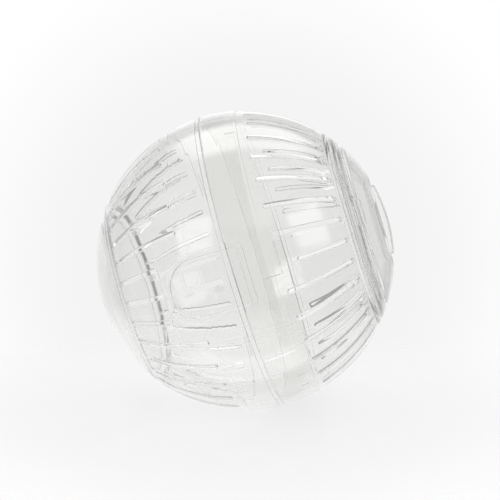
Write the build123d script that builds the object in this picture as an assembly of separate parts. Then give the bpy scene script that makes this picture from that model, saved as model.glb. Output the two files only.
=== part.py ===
from build123d import *
import os
from math import acos, asin, cos, degrees, radians, sin, sqrt

os.makedirs("parts", exist_ok=True)

# A hamster ball of clear moulded plastic, in millimetres. The ball's axis is X, with the lid at +X.
# The origin is the centre of the ball, +Z is up, and -Y is the side with the thumb pad.

# The ball
ball_radius = 70.0
belt_half_width = 16.4
belt_rise = 0.5
wall = 2.0
seam_gap = 0.3
fit_gap = 0.3
edge_break = 0.4
overrun = 3.0

# Air slots along the meridians of both halves
slot_count = 32
slot_width = 2.0
slot_belt_gap = 3.6
slot_cap_gap = 2.0
slot_lid_gap = 1.0

# Lip of the left half, its bayonet lugs, and their tracks in the right half
lip_reach = 14.5
lip_root = 2.4
lip_wall = 1.6
lug_count = 3
lug_height = 0.8
lug_length = 3.4
lug_width = 10.0
first_lug_angle = 0.0
halves_turn = 15.0

# Round end openings: the lip of the end cap, and the seat under the lid's ring
opening_radius = 44.7
ring_width = 6.1
cap_lip_reach = 2.0
cap_lip_root = 1.5
cap_lip_wall = 1.0
seat_wall = 1.2
seat_inset = 1.5
web_width = 3.0
tongue_height = 0.6
tongue_thickness = 0.7

# Lock ring and the lid's ears
roof_wall = 1.1
ear_wall = 1.1
ring_rim_width = 1.4
ear_count = 3
ear_width = 13.0
ear_side_gap = 0.5
first_ear_angle = 170.0

# Finger well and crescent grip in the lid
well_rim_radius = 20.5
well_floor_radius = 17.0
well_depth = 1.7
grip_half_length = 16.5
grip_thickness = 3.6
grip_edge = 0.8

# Oval thumb pad across the seam
pad_back = 31.0
pad_front = 7.0
pad_width = 31.0
pad_corner = 4.5
pad_drop = 5.0
pad_face_rise = 0.3
pad_rim_rise = 0.7
pad_rim_width = 2.6
pad_slot_gap = 1.6
stud_radius = 1.8
stud_back = 7.5
stud_drop = 2.5

# Radii of the layers, from the outside in
skin_radius = ball_radius - belt_rise
inner_radius = skin_radius - wall
roof_under = skin_radius - roof_wall
ear_outer = roof_under - fit_gap
ear_inner = ear_outer - ear_wall
seat_outer = ear_inner - fit_gap
seat_inner = seat_outer - seat_wall
lip_outer = inner_radius - fit_gap
lip_inner = lip_outer - lip_wall
cap_lip_inner = lip_outer - cap_lip_wall
track_floor = inner_radius + lug_height
pad_face = ball_radius + pad_face_rise
pad_top = pad_face + pad_rim_rise


def leg(radius, other):
    """Distance along the axis of a point on a ball, from its distance off the axis, or the other way round."""
    return sqrt(radius**2 - other**2)


def level(radius, x):
    """Angle in degrees from the axis, where a ball of this radius meets the plane at x."""
    return degrees(acos(x / radius))


def span(length, radius=skin_radius):
    """Angle in degrees that a length takes on a circle of this radius."""
    return degrees(length / radius)


# Planes across the axis, from the seam out to the lid
seam_half = seam_gap / 2
opening_x = leg(skin_radius, opening_radius)
web_x = opening_x - web_width
cap_lip_x = opening_x - cap_lip_reach
ring_x = opening_x + fit_gap
cap_root_x = ring_x + cap_lip_root
rim_x = ring_x + ring_rim_width
ear_x = rim_x + fit_gap
lid_x = leg(skin_radius, opening_radius - ring_width)
roof_x = lid_x - fit_gap
mouth_x = lid_x - seat_inset
well_floor = leg(skin_radius, well_rim_radius) - well_depth

# Distances off the axis
tongue_outer = (opening_radius + leg(seat_outer, opening_x) + tongue_thickness) / 2
tongue_inner = tongue_outer - tongue_thickness
notch_radius = leg(ear_outer, ear_x) + fit_gap

# Angles from the axis, at the outer skin
belt_angle = level(ball_radius, belt_half_width)
lip_end_angle = level(lip_outer, -lip_reach)
lug_far_angle = level(lip_outer, lip_reach - edge_break)
lug_near_angle = lug_far_angle + span(lug_length, lip_outer)
opening_angle = level(skin_radius, opening_x)
ear_root_angle = level(inner_radius, lid_x) - span(wall)
well_rim_angle = degrees(asin(well_rim_radius / skin_radius))
well_under_angle = degrees(asin((well_rim_radius + wall / 2) / inner_radius))
slot_near_angle = level(skin_radius, belt_half_width + slot_belt_gap)
pad_slot_angle = level(skin_radius, pad_back + pad_slot_gap)
slot_pitch = 360 / slot_count
break_angle = span(edge_break)


def at(radius, angle):
    """Point of the half section: distance along the axis, and distance from it."""
    return radius * cos(radians(angle)), radius * sin(radians(angle))


def arc(radius, start, stop):
    """Three points of an arc round the ball's centre, between two angles from the axis."""
    return [at(radius, start), at(radius, (start + stop) / 2), at(radius, stop)]


def turned(steps, side=1, start=0, sweep=360):
    """Solid turned about X from a closed half section.

    A step is a corner, as one point, or an arc, as a list of three, and straight lines join the steps.
    A side of -1 puts the section on the left. A part turn begins at an angle from +Y towards +Z.
    """
    runs = [[(side * x, r) for x, r in (step if isinstance(step, list) else [step])] for step in steps]
    edges = []
    for run, following in zip(runs, runs[1:] + runs[:1]):
        if len(run) == 3:
            edges.append(ThreePointArc(*run))
        if Vector(*run[-1]) != Vector(*following[0]):
            edges.append(Line(run[-1], following[0]))
    section = Face(Wire(edges))
    return Rot(start, 0, 0) * revolve(section, Axis.X, sweep)


def sector(inner, outer, far, near, start, stop):
    """Block between two radii, two angles from the axis and two angles from +Y."""
    return turned([arc(inner, far, near), arc(outer, near, far)], start=start, sweep=stop - start)


def skin_steps():
    """Half section of a half's outside, from the seam over the belt and the slotted zone to the opening."""
    return [
        (seam_half, ball_radius - edge_break),
        arc(ball_radius, level(ball_radius, seam_half + edge_break), belt_angle),
        arc(skin_radius, belt_angle, opening_angle),
    ]


def collar_steps():
    """Half section of the right half's end: the flat with its groove, the seat, and the step behind its web."""
    groove_x = opening_x - tongue_height - fit_gap
    return [
        (opening_x, tongue_outer + fit_gap),
        (groove_x, tongue_outer + fit_gap),
        (groove_x, tongue_inner - fit_gap),
        (opening_x, tongue_inner - fit_gap),
        arc(seat_outer, level(seat_outer, opening_x), level(seat_outer, mouth_x)),
        arc(seat_inner, level(seat_inner, mouth_x), level(seat_inner, web_x)),
        arc(inner_radius, level(inner_radius, web_x), level(inner_radius, seam_half + edge_break)),
        (seam_half, inner_radius + edge_break),
    ]


def lip_steps():
    """Half section of the left half's inside: the plain edge at its opening, and the step down to the lip."""
    return [
        arc(inner_radius, level(inner_radius, opening_x), level(inner_radius, lip_root)),
        arc(lip_inner, level(lip_inner, lip_root), lip_end_angle),
        at(lip_outer - edge_break, lip_end_angle),
        arc(lip_outer, lip_end_angle - break_angle, level(lip_outer, seam_half)),
    ]


def slot_cutter(side, near_angle):
    """Cutter of one slot, on the -Y side of one half. Its ends are round, and the far one runs in towards the axis."""
    low = seat_inner - overrun
    high = skin_radius + overrun
    end = slot_width / 2
    near_middle = near_angle - span(end)
    far_x = (web_x - slot_lid_gap if side > 0 else opening_x - slot_cap_gap) - end
    far_low = leg(low, far_x)
    far_high = leg(high, far_x)
    corners = [at(high, near_middle), (far_x, far_high), (far_x, far_low), at(low, near_middle)]
    outline = [(side * x, -r) for x, r in corners]
    cutter = extrude(make_face(Polyline(*outline, close=True)), amount=end, both=True)
    x, r = at((low + high) / 2, near_middle)
    near_end = Plane(origin=(side * x, -r, 0), z_dir=(side * x, -r, 0))
    far_end = Plane(origin=(side * far_x, -(far_low + far_high) / 2, 0), z_dir=(0, -1, 0))
    return cutter + near_end * Cylinder(end, high - low) + far_end * Cylinder(end, far_high - far_low)


def slot_cutters(side):
    """Cutters of all slots of one half. On the left, those behind the thumb pad start at its end."""
    pad_reach = degrees(asin(pad_width / 2 / ball_radius))
    cutters = []
    for index in range(slot_count):
        turn = (index - slot_count / 2) * slot_pitch
        behind_pad = side < 0 and abs(turn) <= pad_reach
        near_angle = pad_slot_angle if behind_pad else slot_near_angle
        cutters.append(Rot(pad_drop + turn, 0, 0) * slot_cutter(side, near_angle))
    return cutters


def layer(inner, outer):
    """Hollow ball between two radii."""
    return Sphere(outer) - Sphere(inner)


pad_plane = Plane(
    origin=(0, 0, 0),
    x_dir=(1, 0, 0),
    z_dir=(0, -cos(radians(pad_drop)), -sin(radians(pad_drop))),
)


def pad_prism(inset):
    """Column through the pad's outline, drawn in by an inset: round at the back, straight at the front."""
    half = pad_width / 2 - inset
    round_centre = pad_width / 2 - pad_back
    front = pad_front - inset
    body = Pos((round_centre + front) / 2, 0) * Rectangle(front - round_centre, 2 * half)
    body = fillet(body.vertices().group_by(Axis.X)[-1], pad_corner - inset)
    outline = body + Pos(round_centre, 0) * Circle(half)
    return extrude(pad_plane * outline, amount=pad_top + overrun)


def thumb_pad():
    """Thumb pad with its rim, over both halves: a plate that follows the ball, sunk inside the rim."""
    plate = pad_prism(0) & layer(inner_radius + wall / 2, pad_top)
    return plate - (pad_prism(pad_rim_width) & layer(pad_face, pad_top + overrun))


def pad_stud():
    """Small round stud on the pad's face, level with the rim."""
    post = Pos(-stud_back, -stud_drop) * Circle(stud_radius)
    return extrude(pad_plane * post, amount=pad_top + overrun) & layer(inner_radius + wall / 2, pad_top)


def half_space(side):
    """Block that holds everything on one side of the seam, clear of the seam's gap."""
    reach = pad_top + overrun
    block = Box(reach, 2 * reach, 2 * reach)
    return Pos(side * (seam_half + reach / 2), 0, 0) * block


def lug_angles():
    """Middle angles of the bayonet lugs, from +Y towards +Z."""
    return [first_lug_angle + index * 360 / lug_count for index in range(lug_count)]


def left_half_shell():
    """Slotted half with the lip and its lugs."""
    shell = turned(skin_steps() + lip_steps(), side=-1) - slot_cutters(-1)
    lug_span = span(lug_width, lip_outer) / 2
    root = lip_inner + lip_wall / 2
    top = lip_outer + lug_height
    for middle in lug_angles():
        shell += sector(root, top, lug_far_angle, lug_near_angle, middle - lug_span, middle + lug_span)
    return shell + (thumb_pad() & half_space(-1)) + pad_stud()


def right_half_shell():
    """Slotted half that goes over the lip, with an entry and a track inside it for each lug."""
    shell = turned(skin_steps() + collar_steps()) - slot_cutters(1)
    lug_span = span(lug_width, lip_outer) / 2 + span(fit_gap, lip_outer)
    far = lug_far_angle - span(fit_gap, lip_outer)
    near = lug_near_angle + span(fit_gap, lip_outer)
    outside = 90 + span(overrun)
    for middle in lug_angles():
        freed = middle - halves_turn - lug_span
        shell -= sector(lip_inner, track_floor, far, near, freed, middle + lug_span)
        shell -= sector(lip_inner, track_floor, far, outside, freed, freed + 2 * lug_span)
    return shell + (thumb_pad() & half_space(1))


def end_cap():
    """Plain dome that closes the left opening, with a lip inside its edge."""
    edge_x = ring_x + edge_break
    steps = [
        arc(skin_radius, 0, level(skin_radius, edge_x)),
        (ring_x, leg(skin_radius, edge_x)),
        arc(lip_outer, level(lip_outer, ring_x), level(lip_outer, cap_lip_x)),
        arc(cap_lip_inner, level(cap_lip_inner, cap_lip_x), level(cap_lip_inner, cap_root_x)),
        arc(inner_radius, level(inner_radius, cap_root_x), 0),
    ]
    return turned(steps, side=-1)


def ear_angles():
    """Middle angles of the lid's ears, from +Y towards +Z."""
    return [first_ear_angle + index * 360 / ear_count for index in range(ear_count)]


ear_span = span(ear_width, leg(ear_outer, ear_x)) / 2
notch_span = ear_span + span(ear_side_gap, leg(ear_outer, ear_x))


def lock_ring():
    """Ring that turns on the right opening, with a roof over the ears and a notch for each ear."""
    edge_x = ring_x + edge_break
    steps = [
        arc(skin_radius, level(skin_radius, roof_x), level(skin_radius, edge_x)),
        (ring_x, leg(skin_radius, edge_x)),
        (ring_x, tongue_outer),
        (ring_x - tongue_height, tongue_outer),
        (ring_x - tongue_height, tongue_inner),
        (ring_x, tongue_inner),
        arc(ear_inner, level(ear_inner, ring_x), level(ear_inner, rim_x)),
        arc(roof_under, level(roof_under, rim_x), level(roof_under, roof_x)),
    ]
    ring = turned(steps)
    notch_x = rim_x + fit_gap / 2
    notch_low = leg(roof_under, roof_x) - overrun
    notch = [(notch_x, notch_low), (notch_x, notch_radius), (ball_radius, notch_radius), (ball_radius, notch_low)]
    for middle in ear_angles():
        ring -= turned(notch, start=middle - notch_span, sweep=2 * notch_span)
    return ring


def crescent_grip():
    """Fin across the finger well, in the plane of X and Z, with its top on the ball and that top's edges rounded."""
    foot = well_floor - wall / 2
    blank = Box(ball_radius - foot, grip_thickness, 2 * grip_half_length)
    fin = Pos((foot + ball_radius) / 2, 0, 0) * blank & Sphere(skin_radius)
    top = fin.faces().sort_by(Axis.X)[-1]
    return fillet(top.edges(), grip_edge)


def lid():
    """Dome with the finger well, the crescent grip, and the ears that go down under the ring's roof."""
    edge_x = lid_x + edge_break
    steps = [
        (well_floor, 0),
        (well_floor, well_floor_radius),
        arc(skin_radius, well_rim_angle, level(skin_radius, edge_x)),
        (lid_x, leg(skin_radius, edge_x)),
        arc(inner_radius, level(inner_radius, lid_x), well_under_angle),
        (well_floor - wall, well_floor_radius),
        (well_floor - wall, 0),
    ]
    dome = turned(steps) + crescent_grip()
    ear = [
        arc(ear_outer, ear_root_angle, level(ear_outer, ear_x)),
        arc(ear_inner, level(ear_inner, ear_x), ear_root_angle),
    ]
    for middle in ear_angles():
        dome += turned(ear, start=middle - ear_span, sweep=2 * ear_span)
    return dome


pieces = {
    "left_half_shell": left_half_shell,
    "right_half_shell": right_half_shell,
    "end_cap": end_cap,
    "lock_ring": lock_ring,
    "lid": lid,
}

for name, make in pieces.items():
    export_step(make(), f"parts/{name}.step")
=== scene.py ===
from math import acos, asin, cos, pi, radians, sin, sqrt
from types import SimpleNamespace

import bmesh
import bpy
import numpy as np
from mathutils import Matrix, Vector


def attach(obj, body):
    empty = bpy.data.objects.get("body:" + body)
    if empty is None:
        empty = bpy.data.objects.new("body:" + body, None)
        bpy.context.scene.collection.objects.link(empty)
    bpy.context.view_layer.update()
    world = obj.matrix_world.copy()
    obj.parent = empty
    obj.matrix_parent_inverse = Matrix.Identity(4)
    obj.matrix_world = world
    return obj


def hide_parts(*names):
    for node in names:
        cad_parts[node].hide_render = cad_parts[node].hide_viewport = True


bl_info = {
    "name": "Hamster ball",
    "version": (1, 0, 0),
    "blender": (4, 5, 0),
    "location": "View3D > Sidebar > Hamster ball",
    "description": "Clear slotted hamster ball in twist-lock halves, with an end cap, a lock ring and a lid",
    "category": "Add Mesh",
}

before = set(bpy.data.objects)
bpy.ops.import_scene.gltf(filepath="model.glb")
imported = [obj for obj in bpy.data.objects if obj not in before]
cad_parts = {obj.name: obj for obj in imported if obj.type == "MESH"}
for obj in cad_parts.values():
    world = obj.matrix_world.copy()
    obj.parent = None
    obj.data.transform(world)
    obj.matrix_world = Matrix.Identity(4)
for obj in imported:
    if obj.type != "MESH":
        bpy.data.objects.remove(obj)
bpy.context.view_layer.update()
MM = 0.001

# Finest step that the meshes keep, and how steep an edge is before it shades as a crease
MERGE = 1e-6
CREASE = radians(50)

# Reach of the rounding at moulded corners, at outer edges, at the well and the grip's ends, and beside a slot
CORNER = 0.12 * MM
EDGE = 2 * CORNER
WELL_EDGE = 4 * CORNER
SLOT_ROUND = 0.2 * MM

# Rows over a rounded corner, and the largest share of a side that it takes up
CORNER_ROWS = 5
CORNER_SHARE = 0.45

# Angles of the steps round a quarter circle, and of those round the end of a slot
ROUND_STEPS = np.radians([0, 30, 60, 90])
END_STEPS = np.radians([0, 25, 48, 68, 90])

# Columns from a slot's rounding to the middle of the bar beside it, the column at a slot's first edge, and
# how many columns a sector has, which is a slot with half a bar on each side
BAR_COLUMNS = 2
SLOT_COLUMN = len(ROUND_STEPS) + BAR_COLUMNS
SECTOR_COLUMNS = 2 * SLOT_COLUMN + 1

# Rows along a slot, the distance from its edge to the next plain row, and digits that tell two rows apart
SLOT_ROWS = 10
SLOT_CLEAR = 2.5 * SLOT_ROUND
ANGLE_DIGITS = 6
LENGTH_DIGITS = 7

# Rim of the thumb pad: distances in from its outline, and the share of the rise or of the sink there
RIM_IN = np.array([0, 0.06, 0.12, 0.22, 0.42, 1.3, 2.2, 2.42, 2.54, 2.62, 2.85]) * MM
RIM_RISE = np.array([0, 0.5, 0.8, 0.94, 1, 1, 1, 1, 1, 1, 1])
RIM_SINK = np.array([0, 0, 0, 0, 0, 0, 0, 0.1, 0.4, 0.85, 1])

# Rows over the pad: angles round its round end, distances in from that end past the rim, how many along the
# sides, angles round the corners of its straight end, and edge breaks from the seam to the first row
PAD_ROUND_STEPS = np.radians(np.arange(6, 66, 6))
PAD_FACE_IN = np.array([3.6, 4.6]) * MM
PAD_SIDE_ROWS = 10
PAD_CORNER_STEPS = np.radians([15, 30])
SEAM_CLEAR = 1.5

# Columns over the pad's face, as shares of the way out to its rim, and how many sectors the pad takes up
FACE_SHARES = np.array([0.04, 0.22, 0.42, 0.6, 0.78, 0.92])
PAD_SECTORS = 3

# Half the width of a wall between two azimuths, where a lug, track, ear or notch begins or ends
STEP_AZIMUTH = radians(0.06)

# Gap between two closed solids of one moulding, and height of what stands for an ear where the lid has none
SOLID_GAP = 0.02 * MM
EAR_STUB = 20 * MERGE

# Columns round the stud, the end cap, the ring and lid, and the floor
STUD_COLUMNS = 40
CAP_COLUMNS = 240
RING_COLUMNS = 360
FLOOR_COLUMNS = 64

# Rows over the end cap, outside and inside, and over the grip's arc
CAP_ROWS = 26
CAP_INNER_ROWS = 22
GRIP_ROWS = 40

# Rows over the well's floor and the stud's top, as shares of the way out
WELL_SHARES = np.array([0, 0.3, 0.65, 0.85])
STUD_SHARES = np.array([0.6, 0])

# Line that closes a side of the grip: its share of the grip's length, and rows from it to the side's edge
SPINE_SHARE = 0.8
SPINE_STEPS = np.array([0, 0.5])

# Plastic: how far apart the waves of the melt's flow are, their depth, and the size of the patches of haze
FLOW_WAVE = 14 * MM
FLOW_DEPTH = 0.15 * MM
HAZE_PATCH = 6 * MM

# Reflections and bounces past which light goes straight on through the plastic, and the share that does
MOST_REFLECTIONS = 2.5
MOST_BOUNCES = 8.5
STRAIGHT_ON = (0.985, 0.985, 0.985, 1)

# Ways out to the softboxes over the ball, on its left and on its right, as right, up and towards the camera
SOFTBOX_WAYS = ((0, 0.95, -0.33), (-0.61, 0.28, 0.744), (0.73, 0.38, 0.57))

# Softboxes: their distance, the share of a side over which one fades, and watts a square metre for white
SOFTBOX_DISTANCE = 1.6
SOFTBOX_FADE = 0.2
WHITE_WATTS = 4

# Floor: its radius, distances from the ball between which it fades out, and how far the ball sinks into it
FLOOR_RADIUS = 0.5
FLOOR_FADE = (0.08, 0.21)
FLOOR_SINK = 0.2 * MM


def length(name, description, millimetres):
    """Property for a length, kept in metres."""
    return bpy.props.FloatProperty(
        name=name, description=description, default=millimetres * MM, min=0, precision=5, unit="LENGTH"
    )


def turn(name, description, degrees):
    """Property for an angle, kept in radians."""
    return bpy.props.FloatProperty(
        name=name, description=description, default=radians(degrees), subtype="ANGLE", unit="ROTATION"
    )


def number(name, description, default, **limits):
    """Property for a plain number."""
    return bpy.props.FloatProperty(name=name, description=description, default=default, **limits)


def how_many(name, description, default, least):
    """Property for a number of like features."""
    return bpy.props.IntProperty(name=name, description=description, default=default, min=least)


def linear(code):
    """Linear red, green and blue of an sRGB hex colour."""
    values = np.array([int(code[i : i + 2], 16) for i in (0, 2, 4)]) / 255
    return tuple(np.where(values <= 0.04045, values / 12.92, ((values + 0.055) / 1.055) ** 2.4))


def tint(name, description, code):
    """Property for a colour, given as an sRGB hex value."""
    return bpy.props.FloatVectorProperty(
        name=name, description=description, default=linear(code), min=0, max=1, size=3, subtype="COLOR"
    )


class HamsterBallShell(bpy.types.PropertyGroup):
    """Sizes of the two slotted halves."""

    ball_radius: length("Ball radius", "Radius of the belt that rolls on the floor", 70)
    belt_half_width: length("Half belt width", "Width of the belt on each side of the seam", 16.4)
    belt_rise: length("Belt rise", "How far the belt stands out from the skin", 0.5)
    wall: length("Wall", "Thickness of the moulded wall", 2)
    seam_gap: length("Seam gap", "Gap between the halves", 0.3)
    fit_gap: length("Fit gap", "Gap between mouldings that slide on each other", 0.3)
    edge_break: length("Edge break", "Rounding of the moulded edges", 0.4)
    slot_count: how_many("Slots", "Air slots round each half", 32, least=3)
    slot_width: length("Slot width", "Width of an air slot", 2)
    slot_belt_gap: length("Slot to belt", "Distance from the belt to the slots, along the axis", 3.6)
    slot_cap_gap: length("Slot to cap", "From the left half's slots to its opening, along the axis", 2)
    slot_lid_gap: length("Slot to web", "From the right half's slots to its web, along the axis", 1)
    lip_reach: length("Lip reach", "How far the left half's lip goes past the seam", 14.5)
    lip_root: length("Lip root", "Width of the lip's foot, from the seam", 2.4)
    lip_wall: length("Lip wall", "Thickness of the lip", 1.6)
    lug_count: how_many("Lugs", "Bayonet lugs on the lip", 3, least=1)
    lug_height: length("Lug height", "Height of a bayonet lug", 0.8)
    lug_length: length("Lug length", "Length of a lug along the axis", 3.4)
    lug_width: length("Lug width", "Width of a lug round the lip", 10)
    first_lug: turn("First lug", "Angle of the first lug from +Y towards +Z", 0)
    halves_turn: turn("Halves turn", "How far the halves turn to come apart", 15)


class HamsterBallPad(bpy.types.PropertyGroup):
    """Sizes of the thumb pad across the seam."""

    back: length("Back", "Reach of the round end into the left half", 31)
    front: length("Front", "Reach of the straight end into the right half", 7)
    width: length("Width", "Width across the pad", 31)
    corner: length("Corner", "Radius of the corners at the straight end", 4.5)
    drop: turn("Drop", "How far the pad's middle lies below -Y", 5)
    face_rise: length("Face rise", "Height of the pad's face over the belt", 0.3)
    rim_rise: length("Rim rise", "Height of the rim over the face", 0.7)
    slot_gap: length("Slot gap", "Distance from the pad to the slots behind it", 1.6)
    stud_radius: length("Stud radius", "Radius of the stud on the face", 1.8)
    stud_back: length("Stud back", "Distance of the stud from the seam", 7.5)
    stud_drop: length("Stud drop", "Distance of the stud below the pad's middle", 2.5)


class HamsterBallEnds(bpy.types.PropertyGroup):
    """Sizes of the end openings, the cap, the lock ring and the lid."""

    opening_radius: length("Opening radius", "Radius of the round opening of a half", 44.7)
    ring_width: length("Ring width", "From the edge of the right opening in to the lid's edge", 6.1)
    cap_lip_reach: length("Cap lip reach", "How far the end cap's lip goes into the left half", 2)
    cap_lip_root: length("Cap lip root", "Width of that lip's foot", 1.5)
    cap_lip_wall: length("Cap lip wall", "Thickness of the end cap's lip", 1)
    seat_wall: length("Seat wall", "Thickness of the seat in the collar", 1.2)
    seat_inset: length("Seat inset", "How far the seat's edge lies below the lid's edge", 1.5)
    web_width: length("Web width", "Thickness of the web under the ring", 3)
    tongue_height: length("Tongue height", "Height of the tongue under the ring", 0.6)
    tongue_thickness: length("Tongue thickness", "Thickness of that tongue", 0.7)
    roof_wall: length("Roof wall", "Thickness of the ring's roof over the ears", 1.1)
    ear_wall: length("Ear wall", "Thickness of the lid's ears", 1.1)
    ring_rim_width: length("Ring rim", "Height of the ring's thick rim", 1.4)
    ear_count: how_many("Ears", "Ears on the lid", 3, least=1)
    ear_width: length("Ear width", "Width of an ear", 13)
    ear_side_gap: length("Ear side gap", "Gap on each side of an ear in its notch", 0.5)
    first_ear: turn("First ear", "Angle of the first ear from +Y towards +Z", 170)
    well_rim_radius: length("Well rim", "Radius of the finger well's rim", 20.5)
    well_floor_radius: length("Well floor", "Radius of the finger well's floor", 17)
    well_depth: length("Well depth", "Depth of the floor below the rim", 1.7)
    grip_half_length: length("Half grip length", "Half the length of the crescent grip", 16.5)
    grip_thickness: length("Grip thickness", "Thickness of the crescent grip", 3.6)
    grip_edge: length("Grip edge", "Rounding of the crescent grip's edges", 0.8)


class HamsterBallStage(bpy.types.PropertyGroup):
    """Plastic, camera, light and floor."""

    plastic: tint("Plastic", "Tint of the clear plastic", "FCFCFB")
    floor: tint("Floor", "Colour of the floor", "F4F4F4")
    camera_distance: length("Camera distance", "Distance from the ball's centre to the camera", 721)
    camera_lens: number("Lens", "Focal length on a 36 mm sensor", 110.7, min=1, unit="CAMERA")
    camera_turn: turn("Camera turn", "How far the lid's end is turned to the camera", 5.5)
    camera_roll: turn("Camera roll", "How far the ball's axis rises to the right in the picture", 16.5)
    camera_height: turn("Camera height", "How far the camera looks down on the floor", 8)
    shift_x: number("Shift across", "Shift as a share of the width", 0.0096)
    shift_y: number("Shift up", "Shift as a share of the width", 0.02)
    lamp_radiance: number("Softboxes", "Brightness of the softboxes, where 1 is white", 1.02, min=0)
    ambient: number("Ambient", "Light of the room on the floor, where 1 is white", 0.835, min=0)


def leg(radius, other):
    """Distance along the axis of a point on a ball, from its distance off the axis, or the reverse."""
    return sqrt(radius**2 - other**2)


def layers(scene):
    """Radii of the ball's layers, places of planes across its axis, and angles from it where parts end."""
    shell, pad, ends = scene.hamster_ball_shell, scene.hamster_ball_pad, scene.hamster_ball_ends
    ball = SimpleNamespace()
    ball.skin = shell.ball_radius - shell.belt_rise
    ball.inner = ball.skin - shell.wall
    ball.roof_under = ball.skin - ends.roof_wall
    ball.ear_outer = ball.roof_under - shell.fit_gap
    ball.ear_inner = ball.ear_outer - ends.ear_wall
    ball.seat_outer = ball.ear_inner - shell.fit_gap
    ball.seat_inner = ball.seat_outer - ends.seat_wall
    ball.lip_outer = ball.inner - shell.fit_gap
    ball.lip_inner = ball.lip_outer - shell.lip_wall
    ball.cap_lip_inner = ball.lip_outer - ends.cap_lip_wall
    ball.seam_half = shell.seam_gap / 2
    ball.opening_x = leg(ball.skin, ends.opening_radius)
    ball.web_x = ball.opening_x - ends.web_width
    ball.cap_lip_x = ball.opening_x - ends.cap_lip_reach
    ball.ring_x = ball.opening_x + shell.fit_gap
    ball.cap_root_x = ball.ring_x + ends.cap_lip_root
    ball.rim_x = ball.ring_x + ends.ring_rim_width
    ball.ear_x = ball.rim_x + shell.fit_gap
    ball.lid_x = leg(ball.skin, ends.opening_radius - ends.ring_width)
    ball.roof_x = ball.lid_x - shell.fit_gap
    ball.mouth_x = ball.lid_x - ends.seat_inset
    ball.well_floor = leg(ball.skin, ends.well_rim_radius) - ends.well_depth
    seat_edge = leg(ball.seat_outer, ball.opening_x)
    ball.tongue_outer = (ends.opening_radius + seat_edge + ends.tongue_thickness) / 2
    ball.tongue_inner = ball.tongue_outer - ends.tongue_thickness
    ball.notch = leg(ball.ear_outer, ball.ear_x) + shell.fit_gap
    ball.belt = acos(shell.belt_half_width / shell.ball_radius)
    ball.lip_root = acos(shell.lip_root / ball.inner)
    ball.lip_end = acos(-shell.lip_reach / ball.lip_outer)
    ball.lug_far = acos((shell.lip_reach - shell.edge_break) / ball.lip_outer)
    ball.lug_near = ball.lug_far + shell.lug_length / ball.lip_outer
    ball.ear_root = acos(ball.lid_x / ball.inner) - shell.wall / ball.skin
    ball.well_rim = asin(ends.well_rim_radius / ball.skin)
    ball.well_under = asin((ends.well_rim_radius + shell.wall / 2) / ball.inner)
    ball.slot_half = shell.slot_width / 2
    round_end = ball.slot_half / ball.skin
    ball.slot_near = acos((shell.belt_half_width + shell.slot_belt_gap) / ball.skin) - round_end
    ball.pad_slot_near = acos((pad.back + pad.slot_gap) / ball.skin) - round_end
    ball.cap_slot_x = ball.opening_x - shell.slot_cap_gap - ball.slot_half
    ball.lid_slot_x = ball.web_x - shell.slot_lid_gap - ball.slot_half
    ball.pitch = 2 * pi / shell.slot_count
    ball.pad_face = shell.ball_radius + pad.face_rise
    ball.pad_top = ball.pad_face + pad.rim_rise
    return ball


def polar(radius, angle):
    """Points of a half section at a radius and at an angle from the axis.

    The radius times the angle's cosine lies along the axis, and the radius times its sine off it.
    """
    radius, angle = np.broadcast_arrays(np.asarray(radius, float), np.asarray(angle, float))
    return np.stack([radius * np.cos(angle), radius * np.sin(angle)], -1)


def on(radius, x):
    """Point of a half section where a ball of this radius meets the plane at x."""
    return np.array([x, leg(radius, x)])


def flat(x, r):
    """Points of a half section in the plane at x, at these distances from the axis."""
    return np.stack(np.broadcast_arrays(x, r), -1)


def inside(start, stop, count):
    """Values spaced evenly between two ends, without the ends."""
    return np.linspace(start, stop, count + 2)[1:-1]


def arc(radius, start, stop, count):
    """Points of a half section spaced evenly on a ball between two angles, without the ends."""
    return polar(radius, inside(start, stop, count))


def between(radius, start_x, stop_x, count):
    """Points of a half section spaced evenly on a ball between two planes, without the ends."""
    return arc(radius, acos(start_x / radius), acos(stop_x / radius), count)


def channel(x, bottom_x, outer, inner):
    """Corners of a tongue or groove in a flat at x, down to bottom_x, between two distances from the axis."""
    places = ((x, outer), (bottom_x, outer), (bottom_x, inner), (x, inner))
    return [(place, CORNER) for place in places]


def rounded(before, corner, after, reach):
    """Quadratic curve that leaves one side of a corner and joins the other, at most at this reach from it."""
    back, ahead = before - corner, after - corner
    back_length, ahead_length = np.linalg.norm(back), np.linalg.norm(ahead)
    reach = min(reach, CORNER_SHARE * back_length, CORNER_SHARE * ahead_length)
    start, end = corner + back * reach / back_length, corner + ahead * reach / ahead_length
    t = np.linspace(0, 1, CORNER_ROWS)[:, None]
    return (1 - t) ** 2 * start + 2 * t * (1 - t) * corner + t**2 * end


def half_section(steps):
    """Rows of a closed half section and their tags.

    A step is a tag, points and a reach. With a reach it is one corner, which is rounded. With none it is a
    run of rows.
    """
    runs = [np.atleast_2d(points) for _, points, _ in steps]
    rows, tags = [], []
    for (tag, _, reach), run, last, following in zip(steps, runs, runs[-1:] + runs[:-1], runs[1:] + runs[:1]):
        made = rounded(last[-1], run[0], following[0], reach) if reach else run
        rows.append(made)
        tags += [tag] * len(made)
    return np.concatenate(rows), np.array(tags)


def tagged(tag, *steps):
    """Steps of a half section, each of points and a reach, with one tag."""
    return [(tag, *step) for step in steps]


def section_rows(*steps):
    """Rows of a closed half section from steps without tags."""
    return half_section(tagged("", *steps))[0]


def turned(x, r, azimuth):
    """Points at a distance x along the axis and r from it. Azimuth 0 is -Y, and it grows towards -Z."""
    x, r, azimuth = np.broadcast_arrays(x, r, azimuth)
    return np.stack([x, -r * np.cos(azimuth), -r * np.sin(azimuth)], -1)


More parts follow.
